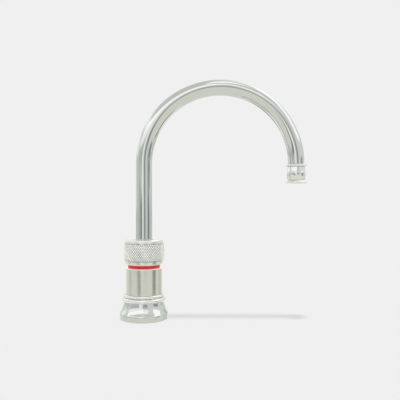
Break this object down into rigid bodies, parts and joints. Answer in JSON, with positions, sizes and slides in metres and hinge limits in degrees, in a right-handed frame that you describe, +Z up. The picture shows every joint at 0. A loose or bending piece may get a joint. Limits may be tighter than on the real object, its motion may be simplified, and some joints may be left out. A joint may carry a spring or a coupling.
{
  "type": "boiling water tap",
  "caption": "Deck tap for boiling water: a swan-neck spout that swivels, a knurled push-and-turn knob, a red light ring, and a threaded shank with a backnut.",
  "frame": {"origin": "centre of the tap hole, on the upper face of the worktop", "axes": "+Z up along the shank, the knob and the spout's riser; the spout points along +X"},
  "size_m": [0.2332, 0.06, 0.3762],
  "materials": {
    "polished_chrome": "polished chrome plate",
    "satin_chrome": "satin plate with fine turned rings",
    "brass": "turned brass",
    "steel": "stainless steel, as machined",
    "red_lens": "translucent red light ring",
    "black_rubber": "matt rubber",
    "white_plastic": "moulded acetal",
    "black_plastic": "moulded, glass-filled",
    "circuit_board": "green circuit board",
    "hose_white": "smooth fluoropolymer hose"
  },
  "bodies": {
    "base": {"worktop_seal": "black_rubber", "flared_foot": "polished_chrome", "collar_ring": "polished_chrome", "body_sleeve": "satin_chrome", "tap_core": "brass", "led_board": "circuit_board", "indicator_ring": "red_lens", "neck_snap_ring": "steel", "lower_bush": "white_plastic", "upper_bush": "white_plastic", "lower_o_ring": "black_rubber", "upper_o_ring": "black_rubber", "threaded_shank": "steel", "shank_gland": "black_plastic", "clamp_seal": "black_rubber", "clamp_washer": "steel", "backnut": "brass", "return_spring": "steel"},
    "push_carriage": {"knob_carriage": "white_plastic", "knob_clip": "steel"},
    "knob": {"knob_shell": "polished_chrome", "knob_top_cap": "polished_chrome", "knob_lower_rim": "polished_chrome", "knob_liner": "black_plastic", "knob_wiper": "black_rubber", "magnet_left": "steel", "magnet_right": "steel"},
    "spout": {"spout_tube": "polished_chrome", "water_tube": "hose_white", "spout_clip": "steel", "hose_fitting": "brass", "nozzle_adapter": "brass", "nozzle_collar": "polished_chrome", "nozzle_bell": "polished_chrome", "nozzle_rim": "polished_chrome", "nozzle_seal": "black_rubber", "flow_straightener": "white_plastic"}
  },
  "joints": [
    {"name": "knob_push", "type": "slide", "parent": "base", "child": "push_carriage", "axis": [0, 0, -1], "range_m": [0, 0.003], "stiffness_N_per_m": 1500, "springref_m": -0.004, "deforming": ["return_spring"]},
    {"name": "knob_turn", "type": "hinge", "parent": "push_carriage", "child": "knob", "pos_m": [0, 0, 0.0827], "axis": [0, 0, 1], "range_deg": [0, 90]},
    {"name": "spout_swivel", "type": "hinge", "parent": "base", "child": "spout", "pos_m": [0, 0, 0.07], "axis": [0, 0, 1], "range_deg": [-180, 180]}
  ]
}
